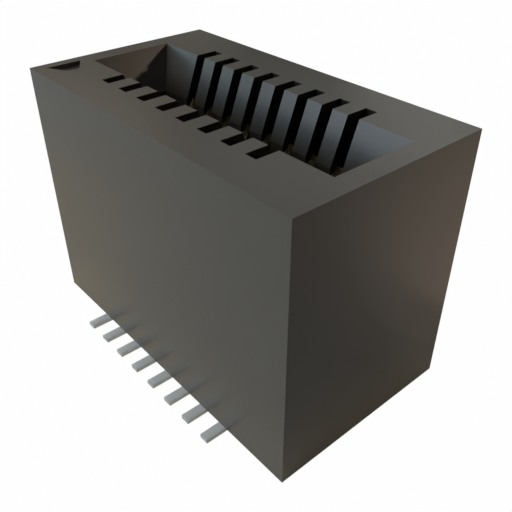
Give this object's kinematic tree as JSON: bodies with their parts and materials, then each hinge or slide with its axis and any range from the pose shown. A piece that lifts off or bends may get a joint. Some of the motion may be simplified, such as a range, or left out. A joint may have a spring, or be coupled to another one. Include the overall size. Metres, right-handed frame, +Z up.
{
  "type": "card edge connector",
  "caption": "Upright card edge socket: a dark moulded housing with a funnelled card slot between two rows of pressed-in spring contacts whose tails lie flat for soldering to a board.",
  "frame": {"origin": "middle of the board face: centred between the two contact rows and along them, in the plane of the undersides of the tails", "axes": "+Z up, the way the card leaves the slot; +X along the contact rows, from contact 1 to contact 8; +Y from the near row to the far row; the near row, beside the corner mark, is at -Y"},
  "size_m": [0.0126, 0.0084, 0.009],
  "materials": {
    "housing_plastic": "glass-filled moulded plastic, dark warm grey, slight sheen",
    "contact_metal": "copper alloy, matt tin on the tail and gold on the spring end"
  },
  "bodies": {
    "root": {"housing": "housing_plastic", "contact_near_1": "contact_metal", "contact_near_2": "contact_metal", "contact_near_3": "contact_metal", "contact_near_4": "contact_metal", "contact_near_5": "contact_metal", "contact_near_6": "contact_metal", "contact_near_7": "contact_metal", "contact_near_8": "contact_metal", "contact_far_1": "contact_metal", "contact_far_2": "contact_metal", "contact_far_3": "contact_metal", "contact_far_4": "contact_metal", "contact_far_5": "contact_metal", "contact_far_6": "contact_metal", "contact_far_7": "contact_metal", "contact_far_8": "contact_metal"}
  },
  "joints": []
}
